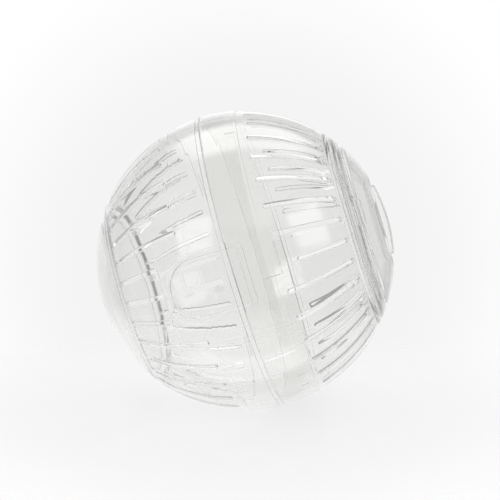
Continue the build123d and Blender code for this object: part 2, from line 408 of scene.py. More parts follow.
def circle(axis, count):
    """Points once round an axis, at a distance of 1: cosines of one way across it and sines of the other."""
    first = axis.orthogonal().normalized()
    second = axis.cross(first)
    around = np.linspace(0, 2 * pi, count, endpoint=False)[:, None]
    return np.cos(around) * np.array(first) + np.sin(around) * np.array(second)


def closed_grid(shape):
    """Quads of a grid of points that closes on itself in both directions."""
    ids = np.arange(shape[0] * shape[1]).reshape(shape)
    below = np.roll(ids, -1, 0)
    return np.stack([ids, below, np.roll(below, -1, 1), np.roll(ids, -1, 1)], -1)


def closed_solid(points):
    """Points and quads of a solid from a grid of points that closes on itself in both directions."""
    return points.reshape(-1, 3), closed_grid(points.shape[:2]).reshape(-1, 4)


def stepped_azimuths(count, first, edges):
    """Even azimuths once round, with the two nearest columns moved to either side of each edge."""
    azimuth = first + 2 * pi * np.arange(count) / count
    past = (edges - first) % (2 * pi)
    place = np.floor(past / (2 * pi) * count).astype(int) % count
    azimuth[place] = first + past - STEP_AZIMUTH
    after = first + past + STEP_AZIMUTH
    azimuth[(place + 1) % count] = np.where(place + 1 == count, after - 2 * pi, after)
    return azimuth


def among(azimuth, start, stop):
    """1 at the azimuths that lie in one of the stretches from start to stop, and 0 elsewhere."""
    span = (stop - start)[:, None]
    return (((azimuth[None, :] - start[:, None]) % (2 * pi)) < span).any(0).astype(float)


def pad_half_width(pad, x, inset):
    """Half the width of the pad's outline, drawn in by an inset, at x along the axis.

    It is the root of a circle's radius squared less the distance past its centre squared, at the round end
    and, with the corner's radius, at the straight end. Between them it is half the width.
    """
    half = pad.width / 2
    past_back = np.maximum(half - pad.back - x, 0)
    past_front = np.maximum(x - pad.front + pad.corner, 0)
    back = np.sqrt(np.maximum((half - inset) ** 2 - past_back**2, 0))
    front = half - pad.corner + np.sqrt(np.maximum((pad.corner - inset) ** 2 - past_front**2, 0))
    return np.where(past_back > 0, back, np.where(past_front > 0, front, half - inset))


def pad_depth_in(pad, x, across):
    """How far in from the pad's outline a point is: from its round end, or the nearest side or corner."""
    half = pad.width / 2
    across = np.abs(across)
    round_end = half - np.hypot(x - half + pad.back, across)
    past_x, past_side = x - pad.front + pad.corner, across - half + pad.corner
    corner = pad.corner - np.hypot(past_x, past_side)
    sides = np.minimum(pad.front - x, half - across)
    straight = np.where((past_x > 0) & (past_side > 0), corner, sides)
    return np.where(x < half - pad.back, round_end, straight)


def pad_rows(pad):
    """Places along the axis for rows over the pad: closest at its two ends, where they follow the rim."""
    half = pad.width / 2
    centre = half - pad.back
    back = centre - half * np.sin(PAD_ROUND_STEPS)
    back_rim = -pad.back + np.concatenate([RIM_IN, PAD_FACE_IN])
    middle = np.linspace(centre, pad.front - pad.corner, PAD_SIDE_ROWS)
    front = pad.front - pad.corner + pad.corner * np.sin(PAD_CORNER_STEPS)
    return np.sort(np.concatenate([back_rim, back, middle, front, pad.front - RIM_IN]))


def slot_reach(ball, past):
    """Half widths of a slot from its edge up its rounding, the rounding's depth, and where the slot is open.

    Past is the distance past the middle of the slot's round end. The half width is the root of the radius
    squared less that distance squared. The rounding is a quarter circle, a function of the distance from the
    slot's edge.
    """
    offset = SLOT_ROUND * (1 - np.cos(ROUND_STEPS))
    radius = ball.slot_half + offset
    past = past[..., None]
    shut = past > ball.slot_half + SLOT_ROUND + MERGE
    reach = np.where(shut, radius, np.sqrt(np.maximum(radius**2 - past**2, 0)))
    away = np.clip(np.maximum(offset, past - ball.slot_half), 0, SLOT_ROUND)
    depth = SLOT_ROUND - np.sqrt(np.maximum(SLOT_ROUND**2 - (SLOT_ROUND - away) ** 2, 0))
    return reach, np.where(shut, 0, depth), past[..., 0] <= ball.slot_half + MERGE


def sector_azimuths(reach, r, pitch):
    """Columns of one sector in each row: a slot with its rounding, and even steps over the bars beside it."""
    edge = np.arcsin(reach / r[:, None, None])
    last = edge[..., -1:]
    bar = last + (pitch / 2 - last) * np.arange(1, BAR_COLUMNS + 1) / (BAR_COLUMNS + 1)
    side = np.concatenate([edge, bar], -1)
    first = np.full(side.shape[:2] + (1,), -pitch / 2)
    return np.concatenate([first, -side[..., ::-1], side], -1)


def pad_azimuths(pad, x, r, edge):
    """Columns over the pad's sectors in each row: over the face, up the rim, and out to the sectors' edge."""
    half = pad_half_width(pad, x[:, None], RIM_IN[None, ::-1])
    rim = np.arcsin(half / r[:, None])
    face = np.arcsin(half[:, :1] * FACE_SHARES / r[:, None])
    count = PAD_SECTORS * SECTOR_COLUMNS // 2 + 1 - len(RIM_IN) - len(FACE_SHARES)
    out = rim[:, -1:] + (edge - rim[:, -1:]) * np.arange(1, count + 1) / count
    side = np.concatenate([face, rim, out], 1)
    return np.concatenate([-side[:, ::-1], side], 1)


def skin_angles(ball, shell, pad, side, far_x):
    """Angles from the axis of the rows over the slotted skin, from the belt to the opening."""
    past = ball.slot_half * np.sin(END_STEPS)
    rise = ball.slot_half + SLOT_ROUND * (1 - np.cos(ROUND_STEPS[1:]))
    end = np.concatenate([past, rise, [ball.slot_half + SLOT_CLEAR]])
    far = np.arccos((far_x + end) / ball.skin)
    end = end / ball.skin
    angles = [ball.slot_near + end, far, inside(ball.slot_near, far[0], SLOT_ROWS)]
    if side < 0:
        over = -pad_rows(pad)
        over = over[over > shell.belt_half_width + EDGE]
        angles += [ball.pad_slot_near + end, np.arccos(over / ball.skin)]
    return np.unique(np.concatenate(angles).round(ANGLE_DIGITS))[::-1]


def slot_floor(ball, angles, far_x):
    """Angles, on the inside, of the rows over the slots.

    They are drawn towards the opening, in proportion to the distance from the belt, until the slots' far end
    lies at the same place along the axis inside as outside.
    """
    far = acos(far_x / ball.skin)
    share = np.maximum((ball.slot_near - angles) / (ball.slot_near - far), 0)
    return angles + (acos(far_x / ball.inner) - far) * share


def collar_steps(ball, ends, shell, first):
    """Half section of the right half's end: the flat with its groove, the seat, and the step behind it."""
    groove_x = ball.opening_x - ends.tongue_height - shell.fit_gap
    groove_outer = ball.tongue_outer + shell.fit_gap
    groove_inner = ball.tongue_inner - shell.fit_gap
    return tagged(
        "end",
        (on(ball.skin, ball.opening_x), shell.edge_break),
        *channel(ball.opening_x, groove_x, groove_outer, groove_inner),
        (on(ball.seat_outer, ball.opening_x), CORNER),
        (between(ball.seat_outer, ball.opening_x, ball.mouth_x, count=3), 0),
        (on(ball.seat_outer, ball.mouth_x), EDGE),
        (on(ball.seat_inner, ball.mouth_x), EDGE),
        (between(ball.seat_inner, ball.mouth_x, ball.web_x, count=5), 0),
        (on(ball.seat_inner, ball.web_x), CORNER),
        (on(ball.inner, ball.web_x), CORNER),
        (arc(ball.inner, acos(ball.web_x / ball.inner), first, count=2), 0),
    )


def edge_steps(ball, shell, first):
    """Half section of the left half's end: the plain flat of its opening, and the inside behind it."""
    return tagged(
        "end",
        (on(ball.skin, ball.opening_x), shell.edge_break),
        (on(ball.inner, ball.opening_x), CORNER),
        (arc(ball.inner, acos(ball.opening_x / ball.inner), first, count=3), 0),
    )


def lip_steps(ball, shell, last):
    """Half section of the left half's inside at the belt: the step down to the lip, the lip and its lugs."""
    lug_far, lug_near = pi - ball.lug_far, pi - ball.lug_near
    root = acos(shell.lip_root / ball.lip_inner)
    seam = acos(ball.seam_half / ball.lip_outer)
    return [
        ("blend", arc(ball.inner, last, ball.lip_root, count=8), 0),
        ("turn", on(ball.inner, shell.lip_root), CORNER),
        ("turn", on(ball.lip_inner, shell.lip_root), CORNER),
        ("turn", arc(ball.lip_inner, root, ball.lip_end, count=6), 0),
        ("turn", polar(ball.lip_inner, ball.lip_end), shell.edge_break / 2),
        ("turn", polar(ball.lip_outer, ball.lip_end), shell.edge_break / 2),
        ("turn", polar(ball.lip_outer, lug_far), 0),
        ("lug", polar(ball.lip_outer, [lug_far, lug_near]), 0),
        ("turn", polar(ball.lip_outer, lug_near), 0),
        ("turn", arc(ball.lip_outer, lug_near, seam, count=3), 0),
        ("turn", polar(ball.lip_outer, seam), CORNER),
    ]


def track_steps(ball, shell, last):
    """Half section of the right half's inside at the belt: the bayonet tracks and the entries to them."""
    far = ball.lug_far - shell.fit_gap / ball.lip_outer
    near = ball.lug_near + shell.fit_gap / ball.lip_outer
    return [
        ("blend", arc(ball.inner, last, far, count=3), 0),
        ("turn", polar(ball.inner, far), 0),
        ("track", polar(ball.inner, [far, near]), 0),
        ("entry", polar(ball.inner, near), 0),
        ("entry", arc(ball.inner, near, pi / 2, count=3), 0),
        ("entry", (ball.seam_half, ball.inner), shell.edge_break),
    ]


def shell_section(scene, ball, side, angles, far_x):
    """Rows and tags of a half's section: the belt, the slotted skin, the end, and back along the inside."""
    shell, pad, ends = scene.hamster_ball_shell, scene.hamster_ball_pad, scene.hamster_ball_ends
    inner_angles = slot_floor(ball, angles, far_x)
    over = side * pad_rows(pad)
    clear_of_seam = over > ball.seam_half + SEAM_CLEAR * shell.edge_break
    over = over[clear_of_seam & (over < shell.belt_half_width - EDGE)]
    even = inside(ball.seam_half + shell.edge_break, shell.belt_half_width, count=4)
    belt = np.unique(np.concatenate([over, even]).round(LENGTH_DIGITS))
    if side > 0:
        end = collar_steps(ball, ends, shell, inner_angles[-1])
        seam = track_steps(ball, shell, angles[0])
    else:
        end = edge_steps(ball, shell, inner_angles[-1])
        seam = lip_steps(ball, shell, angles[0])
    return half_section([
        ("skin", on(shell.ball_radius, ball.seam_half), shell.edge_break),
        ("skin", polar(shell.ball_radius, np.arccos(belt / shell.ball_radius)), 0),
        ("skin", polar(shell.ball_radius, ball.belt), shell.edge_break / 2),
        ("skin", polar(ball.skin, ball.belt), shell.edge_break / 2),
        ("slots", polar(ball.skin, angles), 0),
        *end,
        ("slots inside", polar(ball.inner, inner_angles)[::-1], 0),
        *seam,
    ])


def lift_pad(ball, shell, pad, side, rows, outer, grid):
    """Draws the outer rows' columns to the pad's outline and lifts them there.

    The rise is the way up to the rim's top, less the sink to the face, each times its share at the distance
    in from the outline.
    """
    place = side * rows[:, 0]
    on_pad = outer & (place > -pad.back - MERGE) & (place < pad.front + MERGE)
    place, r = place[on_pad, None], rows[on_pad, 1:]
    rho = np.hypot(place, r)
    spread = pad_azimuths(pad, place[:, 0], r[:, 0], PAD_SECTORS * ball.pitch / 2)
    across = r * np.sin(spread)
    depth_in = pad_depth_in(pad, place, across)
    rise = np.interp(depth_in, RIM_IN, RIM_RISE) * (ball.pad_top - rho)
    rise -= np.interp(depth_in, RIM_IN, RIM_SINK) * pad.rim_rise
    lifted = np.sqrt((rho + np.where(depth_in < 0, 0, rise)) ** 2 - place**2)
    start = (shell.slot_count // 2 - PAD_SECTORS // 2) * SECTOR_COLUMNS
    cells = np.ix_(on_pad, np.arange(start, start + PAD_SECTORS * SECTOR_COLUMNS + 1))
    grid.x[cells] = np.abs(place)
    grid.r[cells] = lifted
    grid.azimuth[cells] = pad.drop + np.arcsin(across / lifted)


def fit_lugs(ball, shell, side, rows, tags, grid):
    """Draws columns at the seam to the edges of the lugs or tracks, and moves these out by a lug's height.

    The rows between the slots and the seam go over from the slots' columns to even ones.
    """
    lug = shell.lug_width / ball.lip_outer / 2
    spare = lug + shell.fit_gap / ball.lip_outer
    at = pi + shell.first_lug + 2 * pi * np.arange(shell.lug_count) / shell.lug_count
    freed = at - shell.halves_turn
    stretches = {
        "lug": (at - lug, at + lug),
        "track": (freed - spare, at + spare),
        "entry": (freed - spare, freed + spare),
    }
    edges = [freed - spare, freed + spare, at + spare] if side > 0 else [at - lug, at + lug]
    even = stepped_azimuths(grid.azimuth.shape[1], grid.azimuth[0, 0], np.concatenate(edges))
    grid.azimuth[np.isin(tags, ["turn", *stretches])] = even
    blend = tags == "blend"
    share = inside(0, 1, blend.sum())[:, None]
    grid.azimuth[blend] = grid.azimuth[blend] * (1 - share) + even * share
    for tag, (start, stop) in stretches.items():
        chosen = tags == tag
        rho = np.hypot(rows[chosen, :1], rows[chosen, 1:])
        grown = 1 + shell.lug_height * among(even, start, stop) / rho
        grid.x[chosen] *= grown
        grid.r[chosen] *= grown


def slotted_quads(shape, outside, within, opened):
    """Quads of a half without those in its slots, and the slots' walls from the outer rows to the inner."""
    sectors = (shape[0], opened.shape[1], SECTOR_COLUMNS)
    quads = closed_grid(shape).reshape(*sectors, 4)
    ids = np.arange(shape[0] * shape[1]).reshape(sectors)
    keep = np.ones(sectors, bool)
    top, under = np.flatnonzero(outside), np.flatnonzero(within)[::-1]
    through = opened[top[:-1]] & opened[top[1:]]
    keep[top[:-1], :, SLOT_COLUMN] = ~through
    keep[under[1:], :, SLOT_COLUMN] = ~through
    walls = []
    for column in (SLOT_COLUMN, SLOT_COLUMN + 1):
        high, low = ids[top, :, column], ids[under, :, column]
        walls.append(np.stack([high[:-1], high[1:], low[1:], low[:-1]], -1)[through])
    return np.concatenate([quads[keep], *walls])


def half_shell(scene, side):
    """Points and quads of one slotted half, right for a side of 1 and left for -1.

    The half section is turned about the axis. Every row has the same number of columns. Their azimuths follow
    the slots' edges, the pad's outline and the lugs, and the radius follows their rounding and rise.
    """
    shell, pad = scene.hamster_ball_shell, scene.hamster_ball_pad
    ball = layers(scene)
    far_x = ball.lid_slot_x if side > 0 else ball.cap_slot_x
    angles = skin_angles(ball, shell, pad, side, far_x)
    rows, tags = shell_section(scene, ball, side, angles, far_x)
    outside, within = tags == "slots", tags == "slots inside"

    # Distance of each row past the ends of each slot, and the columns that follow from it
    middles = pad.drop + (np.arange(shell.slot_count) - shell.slot_count // 2) * ball.pitch
    near = np.full(shell.slot_count, ball.slot_near)
    if side < 0:
        behind = np.abs(middles - pad.drop) <= asin(pad.width / 2 / shell.ball_radius)
        near = np.where(behind, ball.pad_slot_near, near)
    past = np.full((len(rows), shell.slot_count), np.inf)
    past_far = ball.skin * np.cos(angles) - far_x
    past[outside] = np.maximum(np.maximum(ball.skin * (angles[:, None] - near), past_far[:, None]), 0)
    past[within] = past[outside][::-1]
    reach, depth, opened = slot_reach(ball, past)
    azimuth = middles[:, None] + sector_azimuths(reach, rows[:, 1], ball.pitch)
    sink = np.zeros_like(azimuth)
    sink[..., 1 + BAR_COLUMNS : 1 + SLOT_COLUMN] = depth[..., ::-1]
    sink[..., 1 + SLOT_COLUMN : 1 + SLOT_COLUMN + len(ROUND_STEPS)] = depth

    # The rounding beside the slots lowers the outer rows and raises the inner ones
    x, r = rows[:, :1], rows[:, 1:]
    sink = sink.reshape(len(rows), -1)
    scale = 1 + (within.astype(float) - outside)[:, None] * sink / np.hypot(x, r)
    grid = SimpleNamespace(x=x * scale, r=r * scale, azimuth=azimuth.reshape(sink.shape))
    lift_pad(ball, shell, pad, side, rows, outside | (tags == "skin"), grid)
    fit_lugs(ball, shell, side, rows, tags, grid)
    points = turned(side * grid.x, grid.r, grid.azimuth)
    return points.reshape(-1, 3), slotted_quads(grid.r.shape, outside, within, opened)


def pad_stud(scene):
    """Points and quads of the stud on the pad: a half section turned about the ball's radius at the stud."""
    pad = scene.hamster_ball_pad
    ball = layers(scene)
    low, high, edge = ball.pad_face + SOLID_GAP, ball.pad_top, pad.stud_radius
    rows = section_rows(
        ((low, 0), 0),
        ((low, edge), CORNER),
        ((high, edge), EDGE),
        (flat(high, STUD_SHARES * edge), 0),
    )
    r = leg(ball.pad_face, pad.stud_back)
    azimuth = pad.drop + asin(pad.stud_drop / r)
    axis = Vector(turned(-pad.stud_back, r, azimuth)).normalized()
    along, out = rows[:, 0, None, None], rows[:, 1, None, None]
    return closed_solid(along * np.array(axis) + out * circle(axis, STUD_COLUMNS))


def end_cap(scene):
    """Points and quads of the plain dome of the left end: its half section turned about the axis."""
    shell = scene.hamster_ball_shell
    ball = layers(scene)
    edge_x = ball.ring_x + shell.edge_break
    edge, root = acos(edge_x / ball.skin), acos(ball.cap_root_x / ball.inner)
    rows = section_rows(
        (polar(ball.skin, np.linspace(0, edge - EDGE / ball.skin, CAP_ROWS)), 0),
        (on(ball.skin, edge_x), EDGE),
        ((ball.ring_x, leg(ball.skin, edge_x)), EDGE),
        (on(ball.lip_outer, ball.ring_x), CORNER),
        (on(ball.lip_outer, ball.cap_lip_x), CORNER),
        (on(ball.cap_lip_inner, ball.cap_lip_x), CORNER),
        (on(ball.cap_lip_inner, ball.cap_root_x), CORNER),
        (on(ball.inner, ball.cap_root_x), CORNER),
        (polar(ball.inner, np.linspace(root - EDGE / ball.inner, 0, CAP_INNER_ROWS)), 0),
    )
    azimuth = np.linspace(0, 2 * pi, CAP_COLUMNS, endpoint=False)
    return closed_solid(turned(-rows[:, :1], rows[:, 1:], azimuth))


def ears_or_notches(scene, plain, changed, extra):
    """Points and quads of a ring whose half section is changed over the ears' azimuths and plain between."""
    ends = scene.hamster_ball_ends
    ball = layers(scene)
    half = (ends.ear_width / 2 + extra) / leg(ball.ear_outer, ball.ear_x)
    at = pi + ends.first_ear + 2 * pi * np.arange(ends.ear_count) / ends.ear_count
    azimuth = stepped_azimuths(RING_COLUMNS, 0.0, np.concatenate([at - half, at + half]))
    share = among(azimuth, at - half, at + half)[None, :, None]
    rows = plain[:, None] * (1 - share) + changed[:, None] * share
    return closed_solid(turned(rows[..., 0], rows[..., 1], azimuth))


def ring_section(ball, ends, shell, over, under):
    """Half section of the lock ring. Its roof ends at these angles, on the skin and on the underside."""
    edge_x = ball.ring_x + shell.edge_break
    tongue_x = ball.ring_x - ends.tongue_height
    return section_rows(
        (polar(ball.skin, over), shell.edge_break),
        (arc(ball.skin, over, acos(edge_x / ball.skin), count=6), 0),
        (on(ball.skin, edge_x), EDGE),
        ((ball.ring_x, leg(ball.skin, edge_x)), EDGE),
        *channel(ball.ring_x, tongue_x, ball.tongue_outer, ball.tongue_inner),
        (on(ball.ear_inner, ball.ring_x), CORNER),
        (between(ball.ear_inner, ball.ring_x, ball.rim_x, count=2), 0),
        (on(ball.ear_inner, ball.rim_x), CORNER),
        (on(ball.roof_under, ball.rim_x), CORNER),
        (arc(ball.roof_under, acos(ball.rim_x / ball.roof_under), under, count=4), 0),
        (polar(ball.roof_under, under), CORNER),
    )


def lock_ring(scene):
    """Points and quads of the ring that turns on the right opening, with a notch in its roof for each ear."""
    shell, ends = scene.hamster_ball_shell, scene.hamster_ball_ends
    ball = layers(scene)
    roof = (acos(ball.roof_x / ball.skin), acos(ball.roof_x / ball.roof_under))
    notch = (asin(ball.notch / ball.skin), asin(ball.notch / ball.roof_under))
    plain, changed = (ring_section(ball, ends, shell, *angles) for angles in (roof, notch))
    return ears_or_notches(scene, plain, changed, ends.ear_side_gap)


def lid_section(ball, ends, shell, ear_x, under):
    """Half section of the lid from the middle of its well outwards, with an ear down to the plane at ear_x.

    Under is the radius of the ear's underside, or of the dome's where there is no ear.
    """
    floor, ceiling = ball.well_floor, ball.well_floor - shell.wall
    edge, edge_x = ends.well_floor_radius, ball.lid_x + shell.edge_break
    return section_rows(
        (flat(floor, WELL_SHARES * edge), 0),
        ((floor, edge), WELL_EDGE),
        (polar(ball.skin, ball.well_rim), WELL_EDGE),
        (arc(ball.skin, ball.well_rim, acos(edge_x / ball.skin), count=12), 0),
        (on(ball.skin, edge_x), EDGE),
        ((ball.lid_x, leg(ball.skin, edge_x)), EDGE),
        (on(ball.ear_outer, ball.lid_x), CORNER),
        (between(ball.ear_outer, ball.lid_x, ear_x, count=4), 0),
        (on(ball.ear_outer, ear_x), CORNER),
        (on(under, ear_x), CORNER),
        (arc(under, acos(ear_x / under), ball.ear_root, count=6), 0),
        (polar(under, ball.ear_root), CORNER),
        (polar(ball.inner, ball.ear_root - CORNER / ball.inner), 0),
        (arc(ball.inner, ball.ear_root, ball.well_under, count=8), 0),
        (polar(ball.inner, ball.well_under), WELL_EDGE),
        ((ceiling, edge), WELL_EDGE),
        (flat(ceiling, WELL_SHARES[::-1] * edge), 0),
    )


def lid_dome(scene):
    """Points and quads of the lid's dome with its ears."""
    shell, ends = scene.hamster_ball_shell, scene.hamster_ball_ends
    ball = layers(scene)
    plain = lid_section(ball, ends, shell, ball.lid_x - EAR_STUB, ball.inner)
    return ears_or_notches(scene, plain, lid_section(ball, ends, shell, ball.ear_x, ball.ear_inner), 0)


def crescent_grip(scene):
    """Points and quads of the grip: an outline along X and Z, carried along Y and drawn in at its edges.

    The outline has a straight foot, just clear of the well's floor, and an arc of the ball's skin over it.
    The edges are quarter circles, and each side is closed by drawing the outline in to a line.
    """
    ends = scene.hamster_ball_ends
    ball = layers(scene)
    foot, half, edge = ball.well_floor + SOLID_GAP, ends.grip_half_length, ends.grip_edge
    end = asin(half / ball.skin)
    outline = section_rows(
        ((foot, -half), EDGE),
        ((foot, half), EDGE),
        (polar(ball.skin, end), WELL_EDGE),
        (arc(ball.skin, end, -end, GRIP_ROWS), 0),
        (polar(ball.skin, -end), WELL_EDGE),
    )
    run = np.roll(outline, -1, 0) - np.roll(outline, 1, 0)
    inward = np.stack([-run[:, 1], run[:, 0]], -1) / np.linalg.norm(run, axis=1)[:, None]
    middle = outline.mean(0)
    inward *= np.sign(((middle - outline) * inward).sum(1))[:, None]
    inward *= np.clip((outline[:, :1] - foot) / edge, 0, 1)
    inset = edge * (1 - np.sin(ROUND_STEPS))
    inset = np.concatenate([inset, inset[::-1]])[:, None, None]
    across = ends.grip_thickness / 2 - edge + edge * np.cos(ROUND_STEPS)
    across = np.concatenate([-across, across[::-1]])
    loops = outline + inset * inward
    spine = np.stack([np.full(len(outline), middle[0]), outline[:, 1] * SPINE_SHARE], -1)
    share = SPINE_STEPS[:, None, None]
    first, last = (loop * share + spine * (1 - share) for loop in (loops[0], loops[-1]))
    loops = np.concatenate([first, loops, last[::-1]])
    across = np.broadcast_to(np.pad(across, len(share), "edge")[:, None], loops.shape[:2])
    points = np.stack([loops[..., 0], across, loops[..., 1]], -1)
    return points.reshape(-1, 3), closed_grid(points.shape[:2])[:-1].reshape(-1, 4)


def node(tree, kind, settings=None, **inputs):
    """Adds a node with its settings. An input takes a value, an output, or a node for its first output."""
    made = tree.nodes.new(kind)
    for name, value in (settings or {}).items():
        setattr(made, name, value)
    for name, value in inputs.items():
        socket = made.inputs[int(name[1:]) if name[1:].isdigit() else name.replace("_", " ")]
        if isinstance(value, bpy.types.Node):
            value = value.outputs[0]
        if isinstance(value, bpy.types.NodeSocket):
            tree.links.new(value, socket)
        else:
            socket.default_value = value
    return made


# Settings of nodes
SMOOTH = {"interpolation_type": "SMOOTHSTEP"}
LARGER_OF = {"operation": "MAXIMUM"}
OVER = {"operation": "GREATER_THAN"}
TIMES = {"operation": "MULTIPLY"}


def clear_polystyrene(scene):
    """Clear polystyrene, injection moulded in a polished mould.

    It is colourless and refracts more than acrylic, so that edges show as dark and bright lines. The flow of
    the melt leaves the walls a little wavy, and handling leaves a faint haze in patches. Light that is caught
    in the walls, or is on its way to or from the floor, goes straight on.
    """
    name = "Clear moulded polystyrene"
    if name in bpy.data.materials:
        return bpy.data.materials[name]
    material = bpy.data.materials.new(name)
    material.use_nodes = True
    tree = material.node_tree
    plastic = tree.nodes["Principled BSDF"]
    plastic.inputs["Base Color"].default_value = (*scene.hamster_ball_stage.plastic, 1)
    plastic.inputs["IOR"].default_value = 1.59
    plastic.inputs["Transmission Weight"].default_value = 1
    place = node(tree, "ShaderNodeTexCoord").outputs["Object"]
    flow = node(tree, "ShaderNodeTexNoise", Vector=place, Scale=1 / FLOW_WAVE, Detail=1.0, Roughness=0.4)
    bump = node(tree, "ShaderNodeBump", Strength=0.25, Distance=FLOW_DEPTH, Height=flow)
    haze = node(tree, "ShaderNodeTexNoise", Vector=place, Scale=1 / HAZE_PATCH, Detail=3.0)
    rough = node(tree, "ShaderNodeMapRange", Value=haze, From_Min=0.4, From_Max=0.75, To_Max=0.035)
    tree.links.new(bump.outputs["Normal"], plastic.inputs["Normal"])
    tree.links.new(rough.outputs["Result"], plastic.inputs["Roughness"])
    path = node(tree, "ShaderNodeLightPath").outputs
    caught = node(tree, "ShaderNodeMath", OVER, _0=path["Glossy Depth"], _1=MOST_REFLECTIONS)
    deep = node(tree, "ShaderNodeMath", OVER, _0=path["Ray Depth"], _1=MOST_BOUNCES)
    lit = node(tree, "ShaderNodeMath", LARGER_OF, _0=path["Is Shadow Ray"], _1=path["Is Diffuse Ray"])
    freed = node(tree, "ShaderNodeMath", LARGER_OF, _0=caught, _1=deep)
    freed = node(tree, "ShaderNodeMath", LARGER_OF, _0=freed, _1=lit)
    passed = node(tree, "ShaderNodeBsdfTransparent", Color=STRAIGHT_ON)
    mixed = node(tree, "ShaderNodeMixShader", _0=freed, _1=plastic, _2=passed)
    tree.links.new(mixed.outputs["Shader"], tree.nodes["Material Output"].inputs["Surface"])
    return material


def moulding(scene, name, solids, body, cad_node):
    """Object of one moulding from closed solids, each with its points and quads, in place of a CAD node."""
    starts = np.cumsum([0] + [len(points) for points, _ in solids[:-1]])
    points = np.concatenate([points for points, _ in solids])
    quads = np.concatenate([quads + start for (_, quads), start in zip(solids, starts)])
    mesh = bpy.data.meshes.new(name)
    mesh.from_pydata(points, [], quads)
    merged = bmesh.new()
    merged.from_mesh(mesh)
    bmesh.ops.remove_doubles(merged, verts=merged.verts, dist=MERGE)
    bmesh.ops.recalc_face_normals(merged, faces=merged.faces)
    merged.to_mesh(mesh)
    merged.free()
    mesh.shade_smooth()
    mesh.set_sharp_from_angle(angle=CREASE)
    mesh.materials.append(clear_polystyrene(scene))
    made = bpy.data.objects.new(name, mesh)
    scene.collection.objects.link(made)
    weighted = made.modifiers.new("Weighted normals", "WEIGHTED_NORMAL")
    weighted.keep_sharp = True
    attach(made, body)
    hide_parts(cad_node)


class HAMSTERBALL_OT_left_half(bpy.types.Operator):
    """Make the left half with its slots, its lip and the larger part of the thumb pad"""

    bl_idname = "hamster_ball.left_half"
    bl_label = "Left half"

    def execute(self, context):
        solids = [half_shell(context.scene, -1), pad_stud(context.scene)]
        moulding(context.scene, "clear_left_half", solids, "left_half", "left_half_shell")
        return {"FINISHED"}


class HAMSTERBALL_OT_right_half(bpy.types.Operator):
    """Make the right half with its slots, its collar and the bayonet tracks"""

    bl_idname = "hamster_ball.right_half"
    bl_label = "Right half"

    def execute(self, context):
        solids = [half_shell(context.scene, 1)]
        moulding(context.scene, "clear_right_half", solids, "right_half", "right_half_shell")
        return {"FINISHED"}


class HAMSTERBALL_OT_end_cap(bpy.types.Operator):
    """Make the plain dome of the left end"""

    bl_idname = "hamster_ball.end_cap"
    bl_label = "End cap"

    def execute(self, context):
        solids = [end_cap(context.scene)]
        moulding(context.scene, "clear_end_cap", solids, "left_half", "end_cap")
        return {"FINISHED"}


class HAMSTERBALL_OT_lock_ring(bpy.types.Operator):
    """Make the ring that locks the lid"""

    bl_idname = "hamster_ball.lock_ring"
    bl_label = "Lock ring"

    def execute(self, context):
        solids = [lock_ring(context.scene)]
        moulding(context.scene, "clear_lock_ring", solids, "ring", "lock_ring")
        return {"FINISHED"}


class HAMSTERBALL_OT_lid(bpy.types.Operator):
    """Make the lid with its ears, finger well and crescent grip"""

    bl_idname = "hamster_ball.lid"
    bl_label = "Lid"

    def execute(self, context):
        solids = [lid_dome(context.scene), crescent_grip(context.scene)]
        moulding(context.scene, "clear_lid", solids, "lid", "lid")
        return {"FINISHED"}


def view_axes(stage):
    """Right, up and towards the camera, in the ball's frame, as the columns of a matrix."""
    across = Vector((cos(stage.camera_turn), sin(stage.camera_turn), 0))
    towards = Vector((sin(stage.camera_turn), -cos(stage.camera_turn), 0))
    upright = Vector((0, 0, 1))
    right = cos(stage.camera_roll) * across - sin(stage.camera_roll) * upright
    up = sin(stage.camera_roll) * across + cos(stage.camera_roll) * upright
    return Matrix((right, up, towards)).transposed()


def softbox(scene, name, out, upright, width, height, share):
    """Area lamp out in a direction, turned to the ball, with its height as near to upright as it can be.

    It is brightest in its middle, and falls off to nothing over the outer part of each half, as cloth does.
    """
    lamp = bpy.data.lights.new(name, "AREA")
    lamp.shape = "RECTANGLE"
    lamp.size, lamp.size_y = width, height
    lamp.energy = WHITE_WATTS * width * height * scene.hamster_ball_stage.lamp_radiance * share
    lamp.use_nodes = True
    tree = lamp.node_tree
    # Places on the lamp go from 0 to 1 each way, so they end half a side from its middle
    place = node(tree, "ShaderNodeNewGeometry").outputs["Parametric"]
    off = node(tree, "ShaderNodeVectorMath", {"operation": "SUBTRACT"}, _0=place, _1=(0.5, 0.5, 0))
    off = node(tree, "ShaderNodeVectorMath", {"operation": "ABSOLUTE"}, _0=off)
    sides = node(tree, "ShaderNodeSeparateXYZ", Vector=off).outputs
    glow = 1.0
    for side in (sides["X"], sides["Y"]):
        fade = node(tree, "ShaderNodeMapRange", SMOOTH, Value=side, From_Min=0.5, From_Max=0.5 - SOFTBOX_FADE)
        glow = node(tree, "ShaderNodeMath", TIMES, _0=glow, _1=fade)
    tree.links.new(glow.outputs["Value"], tree.nodes["Emission"].inputs["Strength"])
    placed = bpy.data.objects.new(name, lamp)
    out = out.normalized()
    across = upright.cross(out).normalized()
    facing = Matrix((across, out.cross(across), out)).transposed()
    placed.matrix_world = Matrix.Translation(out * SOFTBOX_DISTANCE) @ facing.to_4x4()
    placed.visible_camera = False
    scene.collection.objects.link(placed)


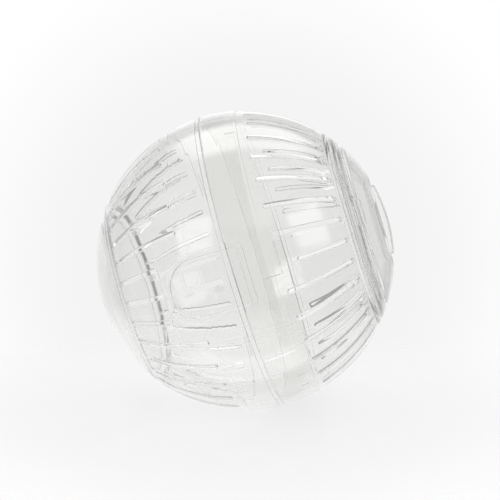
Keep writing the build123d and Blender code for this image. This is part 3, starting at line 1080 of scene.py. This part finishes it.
def studio_world(scene, axes):
    """White behind the ball, greyer to the sides and behind the camera, and dimmer overhead and on the right.

    That is what the eye can see. Light that falls on the floor comes from an even room.
    """
    world = bpy.data.worlds.new("Pale studio")
    world.use_nodes = True
    scene.world = world
    tree = world.node_tree
    right, up, towards = axes.col

    # Ways to look, the cosines from them between which the brightness changes, and the brightness at each
    shades = (
        (-towards, 0.6, 0.98, 0.45, 1.0),
        (-towards, cos(radians(12)), cos(radians(4)), 1.0, 0.9),
        (right, 0.25, 0.6, 1.0, 0.7),
        (up, 0.26, 0.55, 1.0, 0.8),
    )
    dot = {"operation": "DOT_PRODUCT"}
    look = node(tree, "ShaderNodeTexCoord").outputs["Generated"]
    seen = 1.0
    for way, start, stop, first, last in shades:
        along = node(tree, "ShaderNodeVectorMath", dot, _0=look, _1=way).outputs["Value"]
        ends = {"From_Min": start, "From_Max": stop, "To_Min": first, "To_Max": last}
        shade = node(tree, "ShaderNodeMapRange", SMOOTH, Value=along, **ends)
        seen = node(tree, "ShaderNodeMath", TIMES, _0=seen, _1=shade)
    path = node(tree, "ShaderNodeLightPath").outputs
    direct = node(tree, "ShaderNodeMath", LARGER_OF, _0=path["Is Camera Ray"], _1=path["Is Glossy Ray"])
    direct = node(tree, "ShaderNodeMath", LARGER_OF, _0=direct, _1=path["Is Transmission Ray"])
    ambient = scene.hamster_ball_stage.ambient
    light = node(tree, "ShaderNodeMix", {"data_type": "FLOAT"}, _0=direct, _2=ambient, _3=seen)
    tree.links.new(light.outputs["Result"], tree.nodes["Background"].inputs["Strength"])
    tree.nodes["Background"].inputs["Color"].default_value = (1, 1, 1, 1)


def pale_floor(scene, axes):
    """Round pale floor under the ball as it lies in the picture, which fades out into the backdrop."""
    stage = scene.hamster_ball_stage
    normal = axes @ Vector((0, cos(stage.camera_height), sin(stage.camera_height)))
    contact = -normal * (scene.hamster_ball_shell.ball_radius - FLOOR_SINK)
    rim = np.array(contact) + FLOOR_RADIUS * circle(normal, FLOOR_COLUMNS)
    mesh = bpy.data.meshes.new("pale_floor")
    mesh.from_pydata(rim, [], [np.arange(len(rim))])
    material = bpy.data.materials.new("Matt white paper sweep")
    material.use_nodes = True
    tree = material.node_tree
    paper = node(tree, "ShaderNodeBsdfDiffuse", Color=(*stage.floor, 1))
    clear = node(tree, "ShaderNodeBsdfTransparent")
    place = node(tree, "ShaderNodeTexCoord").outputs["Object"]
    apart = {"operation": "DISTANCE"}
    away = node(tree, "ShaderNodeVectorMath", apart, _0=place, _1=contact).outputs["Value"]
    start, stop = FLOOR_FADE
    fade = node(tree, "ShaderNodeMapRange", SMOOTH, Value=away, From_Min=start, From_Max=stop)
    back = node(tree, "ShaderNodeNewGeometry").outputs["Backfacing"]
    gone = node(tree, "ShaderNodeMath", LARGER_OF, _0=fade, _1=back)
    mixed = node(tree, "ShaderNodeMixShader", _0=gone, _1=paper, _2=clear)
    tree.links.new(mixed.outputs["Shader"], tree.nodes["Material Output"].inputs["Surface"])
    mesh.materials.append(material)
    floor = bpy.data.objects.new("pale_floor", mesh)
    scene.collection.objects.link(floor)


class HAMSTERBALL_OT_stage(bpy.types.Operator):
    """Make the camera, the softboxes, the backdrop and the floor"""

    bl_idname = "hamster_ball.stage"
    bl_label = "Stage"

    def execute(self, context):
        scene = context.scene
        stage = scene.hamster_ball_stage
        axes = view_axes(stage)
        lens = bpy.data.cameras.new("camera")
        lens.lens = stage.camera_lens
        lens.sensor_width = 36
        lens.shift_x, lens.shift_y = stage.shift_x, stage.shift_y
        lens.clip_start = 0.01
        camera = bpy.data.objects.new("camera", lens)
        camera.matrix_world = Matrix.Translation(axes.col[2] * stage.camera_distance) @ axes.to_4x4()
        scene.collection.objects.link(camera)
        scene.camera = camera
        over, left, right = (axes @ Vector(way) for way in SOFTBOX_WAYS)
        upright = Vector((0, 0, 1))
        softbox(scene, "softbox_over", over, axes.col[2], width=2.2, height=1.25, share=0.68)
        softbox(scene, "softbox_left", left, upright, width=0.94, height=0.9, share=1)
        softbox(scene, "softbox_right", right, upright, width=0.98, height=0.9, share=1)
        studio_world(scene, axes)
        pale_floor(scene, axes)
        scene.view_settings.view_transform = "Standard"
        return {"FINISHED"}


class HAMSTERBALL_PT_panel(bpy.types.Panel):
    """Buttons and sizes of the hamster ball"""

    bl_idname = "HAMSTERBALL_PT_panel"
    bl_label = "Hamster ball"
    bl_space_type = "VIEW_3D"
    bl_region_type = "UI"
    bl_category = "Hamster ball"

    def draw(self, context):
        for operator in OPERATORS:
            self.layout.operator(operator.bl_idname)
        for group in GROUPS:
            box = self.layout.box()
            for name in GROUPS[group].__annotations__:
                box.prop(getattr(context.scene, group), name)


GROUPS = {
    "hamster_ball_shell": HamsterBallShell,
    "hamster_ball_pad": HamsterBallPad,
    "hamster_ball_ends": HamsterBallEnds,
    "hamster_ball_stage": HamsterBallStage,
}
OPERATORS = [
    HAMSTERBALL_OT_left_half,
    HAMSTERBALL_OT_right_half,
    HAMSTERBALL_OT_end_cap,
    HAMSTERBALL_OT_lock_ring,
    HAMSTERBALL_OT_lid,
    HAMSTERBALL_OT_stage,
]


def register():
    """Register the classes, and give the scene its groups of sizes."""
    for made in [*GROUPS.values(), *OPERATORS, HAMSTERBALL_PT_panel]:
        bpy.utils.register_class(made)
    for name, group in GROUPS.items():
        setattr(bpy.types.Scene, name, bpy.props.PointerProperty(type=group))


def unregister():
    """Take the groups and classes away again."""
    for name in GROUPS:
        delattr(bpy.types.Scene, name)
    for made in reversed([*GROUPS.values(), *OPERATORS, HAMSTERBALL_PT_panel]):
        bpy.utils.unregister_class(made)


def main():
    """Make every moulding and the stage."""
    register()
    bpy.ops.hamster_ball.left_half()
    bpy.ops.hamster_ball.right_half()
    bpy.ops.hamster_ball.end_cap()
    bpy.ops.hamster_ball.lock_ring()
    bpy.ops.hamster_ball.lid()
    bpy.ops.hamster_ball.stage()


if __name__ == "__main__":
    main()
